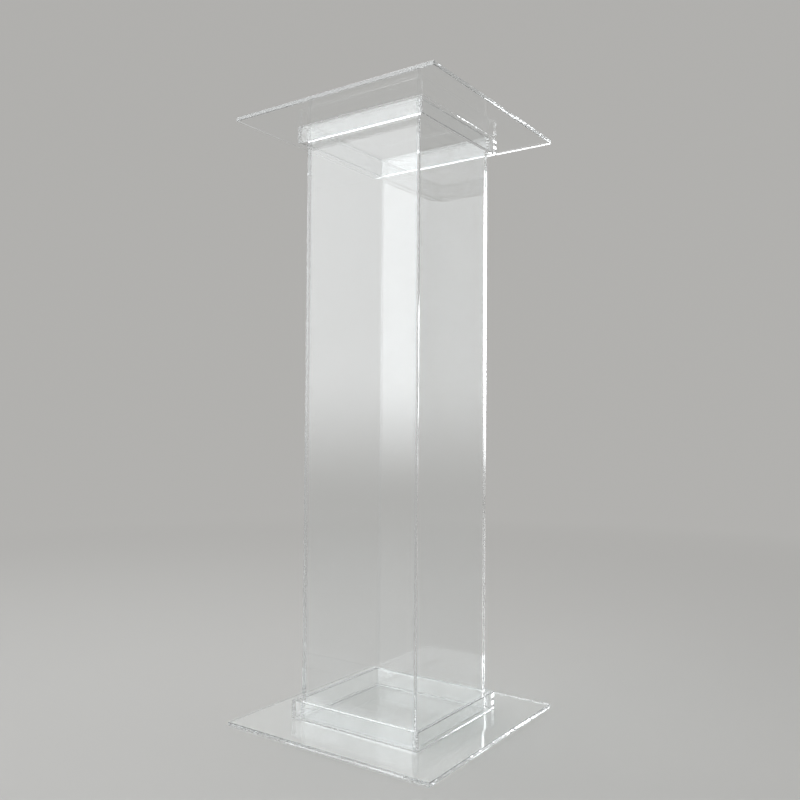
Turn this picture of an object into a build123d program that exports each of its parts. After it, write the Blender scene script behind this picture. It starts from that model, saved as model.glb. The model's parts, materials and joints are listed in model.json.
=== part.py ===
from build123d import *
import os

# Clear acrylic display pedestal: a square base plate, a tall hollow column of four panels,
# and a square top plate. A low collar of four strips stands on the base plate around the
# column's foot, and a like collar hangs under the top plate around the column's head.
# Lengths are in millimetres and +Z is up. The origin is the middle of the base's underside.
# The front of the pedestal faces -Y, and its right side faces +X.

# Base and top plates
plate_side = 300.0
plate_thickness = 5.0
plate_corner_radius = 1.5

# Column panels, all four cut to one width
panel_width = 165.0
panel_thickness = 5.0
column_height = 760.0

# Collar strips
collar_height = 22.0
strip_thickness = 5.0
collar_clearance = 4.0

# Edges that stay open to the hand
eased_edge = 0.5

# Levels of the stacked pieces
column_foot = plate_thickness
column_head = column_foot + column_height
top_collar_foot = column_head - collar_height

# The left and right panels cover the ends of the front and back panels
column_inside_x = panel_width
column_inside_y = panel_width - 2 * panel_thickness
column_outside_x = column_inside_x + 2 * panel_thickness
column_outside_y = panel_width

# Each collar leaves the same gap all round the column
collar_inside_x = column_outside_x + 2 * collar_clearance
collar_inside_y = column_outside_y + 2 * collar_clearance

BOTTOM_END = 0
TOP_END = -1

os.makedirs("parts", exist_ok=True)


def plate(name, underside):
    """A square sheet lying flat, with rounded corners and every long edge eased."""
    with BuildPart() as sheet:
        with BuildSketch(Plane.XY.offset(underside)):
            RectangleRounded(plate_side, plate_side, plate_corner_radius)
        extrude(amount=plate_thickness)
        flat_faces = sheet.faces().filter_by(Axis.Z)
        chamfer(flat_faces.edges(), length=eased_edge)
    sheet.part.label = name
    export_step(sheet.part, f"parts/{name}.step")


def butted_wall(name, outward, inside_x, inside_y, thickness, foot, height, open_ends):
    """A front or back wall, as wide as the space inside, whose ends butt on the side walls."""
    with BuildPart() as wall:
        with BuildSketch(Plane.XY.offset(foot)):
            with Locations((0, outward * (inside_y + thickness) / 2)):
                Rectangle(inside_x, thickness)
        extrude(amount=height)
        ends = wall.faces().sort_by(Axis.Z)
        open_edges = ShapeList()
        for end in open_ends:
            open_edges += ends[end].edges().filter_by(Axis.X)
        chamfer(open_edges, length=eased_edge)
    wall.part.label = name
    export_step(wall.part, f"parts/{name}.step")


def lapping_wall(name, outward, inside_x, inside_y, thickness, foot, height, open_ends):
    """A left or right wall, long enough to cover the ends of the front and back walls."""
    with BuildPart() as wall:
        with BuildSketch(Plane.XY.offset(foot)):
            with Locations((outward * (inside_x + thickness) / 2, 0)):
                Rectangle(thickness, inside_y + 2 * thickness)
        extrude(amount=height)
        outer_face = wall.faces().sort_by(Axis((0, 0, 0), (outward, 0, 0)))[-1]
        ends = wall.faces().sort_by(Axis.Z)
        open_edges = outer_face.edges().filter_by(Axis.Z)
        for end in open_ends:
            open_edges += ends[end].edges()
        chamfer(open_edges, length=eased_edge)
    wall.part.label = name
    export_step(wall.part, f"parts/{name}.step")


def four_walls(prefix, *sizes):
    """Four walls round a rectangular space: two butted, and two that lap their ends."""
    for side, outward in (("front", -1), ("back", 1)):
        butted_wall(f"{prefix}_{side}", outward, *sizes)
    for side, outward in (("left", -1), ("right", 1)):
        lapping_wall(f"{prefix}_{side}", outward, *sizes)


# Base plate with its collar, open at the top to take the column's foot
plate("base_plate", 0)
four_walls(
    "base_collar",
    collar_inside_x,
    collar_inside_y,
    strip_thickness,
    plate_thickness,
    collar_height,
    (TOP_END,),
)

# Column, open at both ends
four_walls(
    "column_panel",
    column_inside_x,
    column_inside_y,
    panel_thickness,
    column_foot,
    column_height,
    (BOTTOM_END, TOP_END),
)

# Top plate with its collar, open at the bottom to drop over the column's head
four_walls(
    "top_collar",
    collar_inside_x,
    collar_inside_y,
    strip_thickness,
    top_collar_foot,
    collar_height,
    (BOTTOM_END,),
)
plate("top_plate", column_head)
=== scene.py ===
import bpy
import json
from math import pi, radians
from mathutils import Matrix, Vector


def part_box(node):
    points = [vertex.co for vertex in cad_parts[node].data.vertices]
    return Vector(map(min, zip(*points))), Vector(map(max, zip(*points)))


# A clear acrylic display pedestal in a round pale studio. Lengths are in metres.
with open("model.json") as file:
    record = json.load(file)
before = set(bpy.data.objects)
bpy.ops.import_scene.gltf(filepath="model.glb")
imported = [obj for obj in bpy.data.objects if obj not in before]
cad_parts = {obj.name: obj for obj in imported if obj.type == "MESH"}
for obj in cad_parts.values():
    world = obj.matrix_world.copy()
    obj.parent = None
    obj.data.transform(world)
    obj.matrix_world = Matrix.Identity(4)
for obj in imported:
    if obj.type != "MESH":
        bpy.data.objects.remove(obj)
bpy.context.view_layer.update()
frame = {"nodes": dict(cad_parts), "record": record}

# Camera, at the photograph's viewing angle. Its lens is in millimetres.
CAMERA_PLACE = (0.6178, -0.8821, 0.3787)
CAMERA_TURN = radians(34.80)
CAMERA_RISE = radians(1.72)
CAMERA_ROLL = radians(0.43)
CAMERA_LENS = 36.93

# Round studio, with its floor a hair below the base plate's underside
STUDIO_RADIUS = 4.4
STUDIO_HEIGHT = 4.0
STUDIO_SIDES = 128
COVE_RADIUS = 1.8
COVE_STEPS = 24
FLOOR_GAP = 0.0003
PAPER_COLOUR = (0.60, 0.595, 0.58, 1.0)
PAPER_ROUGHNESS = 0.6

# The paper's even tone, the distances over which it comes in, and its share from there on
BACKDROP_TONE = (0.455, 0.45, 0.437, 1.0)
BACKDROP_RANGE = (0.5, 2.3)
BACKDROP_SHARE = 0.92

# Lamps. Brightness is power over pi and the lamp's area.
# A fade is how much of the width, and of the height, goes dim at each edge.
WINDOW_PLACE = (-1.45, -2.05, 1.25)
WINDOW_AIM = (0, 0, 1.25)
WINDOW_SIZE = (2.2, 2.4)
WINDOW_BRIGHTNESS = 3.1
WINDOW_FADE = (0.15, 0.24)
WINDOW_COLOUR = (0.95, 0.98, 1.0)
OVERHEAD_PLACE = (-0.6, 0.3, 3.0)
OVERHEAD_AIM = (0, 0, 0.2)
OVERHEAD_SIZE = (3.2, 3.2)
OVERHEAD_BRIGHTNESS = 3.5
OVERHEAD_FADE = (0.42, 0.42)
WORLD_COLOUR = (0.5, 0.5, 0.5, 1.0)
WORLD_STRENGTH = 0.8
BOUNCES = 64

# Cast acrylic
ACRYLIC_IOR = 1.49
FACE_TINT = (0.990, 0.997, 1.0, 1.0)
AGED_TINT = (0.986, 0.992, 0.992, 1.0)
EDGE_TINT = (0.945, 0.965, 0.980, 1.0)
SHADOW_TINT = (0.93, 0.94, 0.94, 1.0)
CLEAR = (1.0, 1.0, 1.0, 1.0)

# How far a surface faces along one axis. Square on is 1.
EASED_BELOW = 0.97
SQUARE_ON = 0.9
HALF = 0.5

# Noise behind the marks: scale, layers of detail, and the strength of each finer layer
WAVE_NOISE = (13.0, 1.0, 0.4)
SAW_MARK_NOISE = (900.0, 2.0, 0.6)
SAW_RIPPLE_NOISE = (120.0, 2.0, 0.5)
WEAR_NOISE = (6.0, 3.0, 0.6)
CLOUD_NOISE = (260.0, 3.0, 0.6)
STREAK_NOISE = (1.0, 0.0, 0.5)

# The noise levels at which a mark starts and is full
MIDDLING = (0.3, 0.7)
SMEARED = (0.52, 0.72)
WIPED = (0.48, 0.62)
CLOUDED = (0.55, 0.80)
NICKED_ABOVE = 0.74

# Two sets of hairlines: turn in radians, length, width, and the noise level they stand above
HAIRLINE_SETS = ((0.35, 0.050, 0.0007, 0.80), (1.95, 0.035, 0.0006, 0.81))

# Dust specks, and the share of cells that hold one
DUST_SPACING = 0.011
DUST_SIZE = 0.0007
DUST_ON_WALLS = 0.10
DUST_ON_TOPS = 0.45

# Heights of the marks in the surface
WAVE_HEIGHT = 0.0001
SAW_MARK_HEIGHT = 0.0000005
SAW_RIPPLE_HEIGHT = 0.000004

# Roughness of each mark
SAW_ROUGHNESS = 0.03
HAIRLINE_ROUGHNESS = 0.12
EASED_ROUGHNESS = 0.12
NICK_ROUGHNESS = 0.5

# Share of the light that each mark scatters
SMEAR_HAZE = 0.006
SAW_HAZE = 0.04
EASED_HAZE = 0.06
HAIRLINE_HAZE = 0.08
DUST_HAZE = 0.55
NICK_HAZE = 0.60

# Sideways shift of the patterns on a flat face, for each metre along the way it faces
PATTERN_SHIFT = 37.0

# Joints: how near a surface must be to one, and how much of it light goes straight through
HAIR = 0.00006
CLOUDED_CEMENT = 0.96
TOUCHING = 0.65

# The front walls, whose sizes set where the corners are
COLUMN_WALL = "column_panel_front"
COLLAR_WALL = "base_collar_front"


def span(node):
    """The lowest and highest corners of a CAD node."""
    low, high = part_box(node)
    return Vector(low), Vector(high)


class Recipe:
    """A material's node tree, with short ways to add to it."""

    def __init__(self, name):
        self.material = bpy.data.materials.new(name)
        self.material.use_nodes = True
        self.nodes = self.material.node_tree.nodes
        self.links = self.material.node_tree.links
        self.nodes.clear()

    def add(self, kind):
        return self.nodes.new(kind)

    def set(self, socket, value):
        """Gives an input a link, or a plain value."""
        if isinstance(value, bpy.types.NodeSocket):
            self.links.new(value, socket)
        else:
            socket.default_value = value

    def math(self, operation, *values):
        node = self.add("ShaderNodeMath")
        node.operation = operation
        for socket, value in zip(node.inputs, values):
            self.set(socket, value)
        return node.outputs[0]

    def either(self, *masks):
        joined = masks[0]
        for mask in masks[1:]:
            joined = self.math("MAXIMUM", joined, mask)
        return joined

    def both(self, *masks):
        joined = masks[0]
        for mask in masks[1:]:
            joined = self.math("MULTIPLY", joined, mask)
        return joined

    def axes(self, vector):
        split = self.add("ShaderNodeSeparateXYZ")
        self.set(split.inputs[0], vector)
        return split.outputs[0], split.outputs[1], split.outputs[2]

    def point(self, x, y, z):
        joined = self.add("ShaderNodeCombineXYZ")
        for socket, value in zip(joined.inputs, (x, y, z)):
            self.set(socket, value)
        return joined.outputs[0]

    def noise(self, vector, scale, detail, roughness):
        node = self.add("ShaderNodeTexNoise")
        self.set(node.inputs["Vector"], vector)
        node.inputs["Scale"].default_value = scale
        node.inputs["Detail"].default_value = detail
        node.inputs["Roughness"].default_value = roughness
        return node.outputs[0]

    def streaks(self, vector, turn, length, width, above):
        """Long thin streaks that run at an angle."""
        mapping = self.add("ShaderNodeMapping")
        self.set(mapping.inputs["Vector"], vector)
        mapping.inputs["Rotation"].default_value = (0.0, 0.0, turn)
        mapping.inputs["Scale"].default_value = (1.0 / length, 1.0 / width, 1.0)
        drawn_out = self.noise(mapping.outputs[0], *STREAK_NOISE)
        return self.math("GREATER_THAN", drawn_out, above)

    def specks(self, vector, spacing, size, share):
        """Small round spots, left out of all but a share of the cells."""
        cells = self.add("ShaderNodeTexVoronoi")
        cells.voronoi_dimensions = "2D"
        self.set(cells.inputs["Vector"], vector)
        cells.inputs["Scale"].default_value = 1.0 / spacing
        chance = self.axes(cells.outputs["Color"])[0]
        return self.both(
            self.math("LESS_THAN", cells.outputs["Distance"], HALF * size / spacing),
            self.math("LESS_THAN", chance, share),
        )

    def rescale(self, value, low, high, to_low, to_high):
        node = self.add("ShaderNodeMapRange")
        self.set(node.inputs["Value"], value)
        node.inputs["From Min"].default_value = low
        node.inputs["From Max"].default_value = high
        node.inputs["To Min"].default_value = to_low
        node.inputs["To Max"].default_value = to_high
        return node.outputs[0]

    def blend(self, mask, plain, marked):
        """The plain number, or the marked one where the mask is 1."""
        node = self.add("ShaderNodeMix")
        node.data_type = "FLOAT"
        self.set(node.inputs[0], mask)
        self.set(node.inputs[2], plain)
        self.set(node.inputs[3], marked)
        return node.outputs[0]

    def blend_colours(self, mask, plain, marked):
        node = self.add("ShaderNodeMix")
        node.data_type = "RGBA"
        self.set(node.inputs[0], mask)
        self.set(node.inputs[6], plain)
        self.set(node.inputs[7], marked)
        return node.outputs[2]

    def mix_shaders(self, mask, plain, marked):
        node = self.add("ShaderNodeMixShader")
        for socket, value in zip(node.inputs, (mask, plain, marked)):
            self.set(socket, value)
        return node.outputs[0]

    def clear(self, colour):
        """Lets light straight through, unbent."""
        node = self.add("ShaderNodeBsdfTransparent")
        node.inputs["Color"].default_value = colour
        return node.outputs[0]


class Place:
    """Where a point of the surface is on the stand, and which way it faces."""

    def __init__(self, recipe):
        coordinates = recipe.add("ShaderNodeTexCoord")
        self.point = coordinates.outputs["Object"]
        self.x, self.y, self.z = recipe.axes(self.point)
        self.from_side = recipe.math("ABSOLUTE", self.x)
        self.from_front = recipe.math("ABSOLUTE", self.y)
        normal = recipe.axes(coordinates.outputs["Normal"])
        facing = [recipe.math("ABSOLUTE", axis) for axis in normal]
        self.facing_x, self.facing_y, self.facing_z = facing
        self.upward = recipe.math("GREATER_THAN", normal[2], SQUARE_ON)
        self.level = recipe.math("GREATER_THAN", self.facing_z, SQUARE_ON)
        self.flat = self.spread_out(recipe)

    def spread_out(self, recipe):
        """The point in the plane of its own face, shifted so that no two faces get one pattern."""
        sideways = recipe.math("GREATER_THAN", self.facing_x, SQUARE_ON)
        across = recipe.blend(sideways, self.x, self.y)
        along = recipe.blend(self.level, self.z, self.y)
        total = recipe.math("ADD", self.x, recipe.math("ADD", self.y, self.z))
        depth = recipe.math("SUBTRACT", total, recipe.math("ADD", across, along))
        shift = recipe.math("MULTIPLY", depth, PATTERN_SHIFT)
        return recipe.point(recipe.math("ADD", across, shift), along, 0.0)


def cemented_walls(recipe, place, front):
    """Where the end of a front or back wall is cemented to the wall that laps it."""
    seam = span(front)[1].x
    inner_face = -span(front)[1].y
    return recipe.both(
        recipe.math("COMPARE", place.from_side, seam, HAIR),
        recipe.math("GREATER_THAN", place.from_front, inner_face - HAIR),
    )


def cemented_edges(recipe, place):
    """Where a collar strip's edge is cemented to its plate."""
    base_face = span("base_plate")[1].z
    top_face = span("top_plate")[0].z
    return recipe.either(
        recipe.math("COMPARE", place.z, base_face, HAIR),
        recipe.math("COMPARE", place.z, top_face, HAIR),
    )


def collar_footprint(recipe, place):
    """The part of a plate that its collar's four strips cover."""
    inner_x = span(COLLAR_WALL)[1].x
    inner_y = -span(COLLAR_WALL)[1].y
    outer_x = span("base_collar_right")[1].x
    outer_y = -span(COLLAR_WALL)[0].y
    outside_room = recipe.either(
        recipe.math("GREATER_THAN", place.from_side, inner_x),
        recipe.math("GREATER_THAN", place.from_front, inner_y),
    )
    return recipe.both(
        outside_room,
        recipe.math("LESS_THAN", place.from_side, outer_x),
        recipe.math("LESS_THAN", place.from_front, outer_y),
    )


class Marks:
    """The marks that casting, sawing and handling leave on a sheet."""

    def __init__(self, recipe, place, cut_face, along):
        self.cut_face = cut_face
        self.wave = recipe.noise(place.point, *WAVE_NOISE)
        self.leave_by_sawing(recipe, place, along)
        self.leave_by_handling(recipe, place)

    def leave_by_sawing(self, recipe, place, along):
        facing = recipe.either(place.facing_x, place.facing_y, place.facing_z)
        self.eased = recipe.math("LESS_THAN", facing, EASED_BELOW)
        along_cut = recipe.point(along, 0.0, 0.0)
        self.saw_marks = recipe.noise(along_cut, *SAW_MARK_NOISE)
        self.saw_ripple = recipe.noise(along_cut, *SAW_RIPPLE_NOISE)
        nicked = recipe.math("GREATER_THAN", self.saw_marks, NICKED_ABOVE)
        self.nicks = recipe.both(self.eased, nicked)

    def leave_by_handling(self, recipe, place):
        wear = recipe.noise(place.flat, *WEAR_NOISE)
        wiped = recipe.rescale(wear, *WIPED, 0.0, 1.0)
        streaks = [recipe.streaks(place.flat, *hairlines) for hairlines in HAIRLINE_SETS]
        self.hairlines = recipe.both(wiped, recipe.either(*streaks))
        self.smears = recipe.rescale(wear, *SMEARED, 0.0, 1.0)
        dustiness = recipe.blend(place.upward, DUST_ON_WALLS, DUST_ON_TOPS)
        self.dust = recipe.specks(place.flat, DUST_SPACING, DUST_SIZE, dustiness)

    def with_ripple(self, recipe, most):
        """A value that rises and falls with the saw's ripple, from nothing to the most."""
        return recipe.rescale(self.saw_ripple, *MIDDLING, 0.0, most)


def relief(recipe, marks):
    """Slow waves in the sheet's own faces, and saw marks across its cut ones."""
    waves = recipe.math("MULTIPLY", marks.wave, WAVE_HEIGHT)
    saw_marks = recipe.math("MULTIPLY", marks.saw_marks, SAW_MARK_HEIGHT)
    saw_ripple = recipe.math("MULTIPLY", marks.saw_ripple, SAW_RIPPLE_HEIGHT)
    sawn = recipe.math("ADD", saw_marks, saw_ripple)
    bump = recipe.add("ShaderNodeBump")
    bump.inputs["Strength"].default_value = 1.0
    bump.inputs["Distance"].default_value = 1.0
    recipe.set(bump.inputs["Height"], recipe.blend(marks.cut_face, waves, sawn))
    return bump.outputs[0]


def roughness(recipe, marks):
    value = recipe.blend(marks.cut_face, 0.0, marks.with_ripple(recipe, SAW_ROUGHNESS))
    value = recipe.blend(marks.hairlines, value, HAIRLINE_ROUGHNESS)
    value = recipe.blend(marks.eased, value, EASED_ROUGHNESS)
    return recipe.blend(marks.nicks, value, NICK_ROUGHNESS)


def haze(recipe, marks):
    """The share of light that is scattered by the marks. The strongest mark at a point sets it."""
    smears = recipe.math("MULTIPLY", marks.smears, SMEAR_HAZE)
    return recipe.either(
        recipe.blend(marks.cut_face, smears, marks.with_ripple(recipe, SAW_HAZE)),
        recipe.math("MULTIPLY", marks.hairlines, HAIRLINE_HAZE),
        recipe.math("MULTIPLY", marks.dust, DUST_HAZE),
        recipe.math("MULTIPLY", marks.eased, EASED_HAZE),
        recipe.math("MULTIPLY", marks.nicks, NICK_HAZE),
    )


def tint(recipe, marks):
    """Nearly colourless faces that vary a little, and faintly blue cut and eased edges."""
    aged = recipe.rescale(marks.wave, *MIDDLING, 0.0, 1.0)
    sheet = recipe.blend_colours(aged, FACE_TINT, AGED_TINT)
    return recipe.blend_colours(recipe.either(marks.cut_face, marks.eased), sheet, EDGE_TINT)


def acrylic(recipe, marks):
    """Clear cast acrylic with saw-cut, polished edges and eased arrises."""
    body = recipe.add("ShaderNodeBsdfPrincipled")
    body.inputs["IOR"].default_value = ACRYLIC_IOR
    let_through = recipe.math("SUBTRACT", 1.0, haze(recipe, marks))
    recipe.set(body.inputs["Transmission Weight"], let_through)
    recipe.set(body.inputs["Roughness"], roughness(recipe, marks))
    recipe.set(body.inputs["Base Color"], tint(recipe, marks))
    recipe.set(body.inputs["Normal"], relief(recipe, marks))
    return body.outputs[0]


def cement(recipe, place, joints):
    """Solvent melts a joint's two faces into one, all but in faint clouds of tiny bubbles."""
    clouds = recipe.noise(place.point, *CLOUD_NOISE)
    return recipe.both(joints, recipe.rescale(clouds, *CLOUDED, 1.0, CLOUDED_CEMENT))


def clear_material(name, joints_of, cut_face_of, along_of):
    """Acrylic that lets light straight through at its joints, and casts a pale shadow."""
    recipe = Recipe(name)
    place = Place(recipe)
    marks = Marks(recipe, place, cut_face_of(recipe, place), along_of(recipe, place))
    joints = cement(recipe, place, joints_of(recipe, place))
    joined = recipe.mix_shaders(joints, acrylic(recipe, marks), recipe.clear(CLEAR))
    path = recipe.add("ShaderNodeLightPath")
    lit = recipe.mix_shaders(path.outputs["Is Shadow Ray"], joined, recipe.clear(SHADOW_TINT))
    out = recipe.add("ShaderNodeOutputMaterial")
    recipe.set(out.inputs["Surface"], lit)
    return recipe.material


def plate_joints(recipe, place):
    return recipe.both(cemented_edges(recipe, place), collar_footprint(recipe, place))


def plate_cut_face(recipe, place):
    return recipe.math("LESS_THAN", place.facing_z, HALF)


def plate_along(recipe, place):
    return recipe.math("ADD", place.x, place.y)


def panel_joints(recipe, place):
    """The corners, and most of each sawn end, which touches a plate unbonded."""
    touching = recipe.math("MULTIPLY", place.level, TOUCHING)
    return recipe.either(cemented_walls(recipe, place, COLUMN_WALL), touching)


def strip_joints(recipe, place):
    corners = cemented_walls(recipe, place, COLLAR_WALL)
    return recipe.either(corners, cemented_edges(recipe, place))


def wall_cut_face(front):
    """The sawn faces of upright walls: their tops and feet, and the ends shown at the corners."""
    def cut_face(recipe, place):
        end = recipe.both(
            recipe.math("GREATER_THAN", place.facing_y, SQUARE_ON),
            recipe.math("GREATER_THAN", place.from_side, span(front)[1].x),
        )
        return recipe.either(place.level, end)
    return cut_face


def wall_along(front):
    """Distance along an upright wall's cut face."""
    def along(recipe, place):
        on_lapping_wall = recipe.math("GREATER_THAN", place.from_side, span(front)[1].x)
        on_level_face = recipe.blend(on_lapping_wall, place.x, place.y)
        on_upright_end = recipe.math("LESS_THAN", place.facing_z, HALF)
        return recipe.blend(on_upright_end, on_level_face, place.z)
    return along


def studio_paper():
    """Matt pale paper. Away from the stand it is mostly seen at one even tone."""
    recipe = Recipe("studio_paper")
    paper = recipe.add("ShaderNodeBsdfPrincipled")
    paper.inputs["Base Color"].default_value = PAPER_COLOUR
    paper.inputs["Roughness"].default_value = PAPER_ROUGHNESS
    glow = recipe.add("ShaderNodeEmission")
    glow.inputs["Color"].default_value = BACKDROP_TONE
    path = recipe.add("ShaderNodeLightPath")
    rays = ("Is Camera Ray", "Is Glossy Ray", "Is Transmission Ray")
    seen = recipe.either(*[path.outputs[ray] for ray in rays])
    x, y, z = recipe.axes(recipe.add("ShaderNodeTexCoord").outputs["Object"])
    squares = recipe.math("ADD", recipe.math("POWER", x, 2.0), recipe.math("POWER", y, 2.0))
    from_middle = recipe.math("SQRT", squares)
    share = recipe.both(seen, recipe.rescale(from_middle, *BACKDROP_RANGE, 0.0, BACKDROP_SHARE))
    out = recipe.add("ShaderNodeOutputMaterial")
    recipe.set(out.inputs["Surface"], recipe.mix_shaders(share, paper.outputs[0], glow.outputs[0]))
    return recipe.material


def build_studio():
    """A round floor whose rim sweeps up into the backdrop."""
    bpy.ops.object.select_all(action="DESELECT")
    bpy.ops.mesh.primitive_circle_add(
        vertices=STUDIO_SIDES, radius=STUDIO_RADIUS, fill_type="NGON", location=(0, 0, -FLOOR_GAP)
    )
    studio = bpy.context.object
    studio.name = "studio"
    bpy.ops.object.mode_set(mode="EDIT")
    bpy.ops.mesh.select_all(action="SELECT")
    bpy.ops.mesh.extrude_region_move(TRANSFORM_OT_translate={"value": (0, 0, STUDIO_HEIGHT)})
    bpy.ops.mesh.delete(type="ONLY_FACE")
    bpy.ops.object.mode_set(mode="OBJECT")
    bevel = studio.modifiers.new("cove", "BEVEL")
    bevel.width = COVE_RADIUS
    bevel.segments = COVE_STEPS
    bevel.limit_method = "ANGLE"
    bpy.ops.object.modifier_apply(modifier="cove")
    bpy.ops.object.shade_smooth()
    studio.data.materials.append(studio_paper())


def dim_at_edges(tree, position, edge):
    """A value that is 1 across the middle of a lamp and falls to 0 at two opposite edges."""
    from_middle = tree.nodes.new("ShaderNodeMath")
    from_middle.operation = "SUBTRACT"
    from_middle.inputs[1].default_value = HALF
    tree.links.new(position, from_middle.inputs[0])
    distance = tree.nodes.new("ShaderNodeMath")
    distance.operation = "ABSOLUTE"
    tree.links.new(from_middle.outputs[0], distance.inputs[0])
    fade = tree.nodes.new("ShaderNodeMapRange")
    fade.interpolation_type = "SMOOTHSTEP"
    fade.inputs["From Min"].default_value = HALF - edge
    fade.inputs["From Max"].default_value = HALF
    fade.inputs["To Min"].default_value = 1.0
    fade.inputs["To Max"].default_value = 0.0
    tree.links.new(distance.outputs[0], fade.inputs["Value"])
    return fade.outputs[0]


def fade_out(lamp, edges):
    """Lets a rectangular lamp's light die away towards its sides, and its top and bottom."""
    lamp.data.use_nodes = True
    tree = lamp.data.node_tree
    across = tree.nodes.new("ShaderNodeSeparateXYZ")
    geometry = tree.nodes.new("ShaderNodeNewGeometry")
    tree.links.new(geometry.outputs["Parametric"], across.inputs[0])
    strength = tree.nodes.new("ShaderNodeMath")
    strength.operation = "MULTIPLY"
    for axis, edge in enumerate(edges):
        tree.links.new(dim_at_edges(tree, across.outputs[axis], edge), strength.inputs[axis])
    tree.links.new(strength.outputs[0], tree.nodes["Emission"].inputs["Strength"])


def softbox(name, place, aim, size, brightness, fade):
    """A rectangular lamp, aimed at a point and out of the camera's sight."""
    bpy.ops.object.light_add(type="AREA", location=place)
    lamp = bpy.context.object
    lamp.name = name
    lamp.data.shape = "RECTANGLE"
    lamp.data.size, lamp.data.size_y = size
    lamp.data.energy = brightness * pi * size[0] * size[1]
    lamp.rotation_euler = (Vector(aim) - Vector(place)).to_track_quat("-Z", "Y").to_euler()
    lamp.visible_camera = False
    fade_out(lamp, fade)
    return lamp


def light_the_world():
    world = bpy.data.worlds.new("world")
    bpy.context.scene.world = world
    world.use_nodes = True
    background = world.node_tree.nodes["Background"]
    background.inputs["Color"].default_value = WORLD_COLOUR
    background.inputs["Strength"].default_value = WORLD_STRENGTH


def place_camera():
    camera = bpy.data.objects.new("camera", bpy.data.cameras.new("camera"))
    bpy.context.scene.collection.objects.link(camera)
    camera.data.lens = CAMERA_LENS
    turn = Matrix.Rotation(CAMERA_TURN, 4, "Z")
    rise = Matrix.Rotation(pi / 2 + CAMERA_RISE, 4, "X")
    roll = Matrix.Rotation(CAMERA_ROLL, 4, "Z")
    camera.matrix_world = Matrix.Translation(CAMERA_PLACE) @ turn @ rise @ roll
    bpy.context.scene.camera = camera


FINISHES = {
    "clear_plate": (plate_joints, plate_cut_face, plate_along),
    "clear_panel": (panel_joints, wall_cut_face(COLUMN_WALL), wall_along(COLUMN_WALL)),
    "clear_strip": (strip_joints, wall_cut_face(COLLAR_WALL), wall_along(COLLAR_WALL)),
}
for slot, steps in FINISHES.items():
    finish = clear_material(slot, *steps)
    for part in frame["record"]["subparts"]:
        if part["material_slot"] == slot:
            frame["nodes"][part["node"]].material_slots[0].material = finish

build_studio()
window = softbox(
    "window_softbox", WINDOW_PLACE, WINDOW_AIM, WINDOW_SIZE, WINDOW_BRIGHTNESS, WINDOW_FADE
)
window.data.color = WINDOW_COLOUR
softbox(
    "top_softbox", OVERHEAD_PLACE, OVERHEAD_AIM, OVERHEAD_SIZE, OVERHEAD_BRIGHTNESS, OVERHEAD_FADE
)
light_the_world()
place_camera()

# Light runs along inside the sheets, so it needs many bounces to come out at their edges
bpy.context.scene.view_settings.view_transform = "Standard"
bpy.context.scene.cycles.max_bounces = BOUNCES
bpy.context.scene.cycles.glossy_bounces = BOUNCES
bpy.context.scene.cycles.transmission_bounces = BOUNCES
bpy.context.scene.cycles.transparent_max_bounces = BOUNCES
bpy.context.view_layer.update()
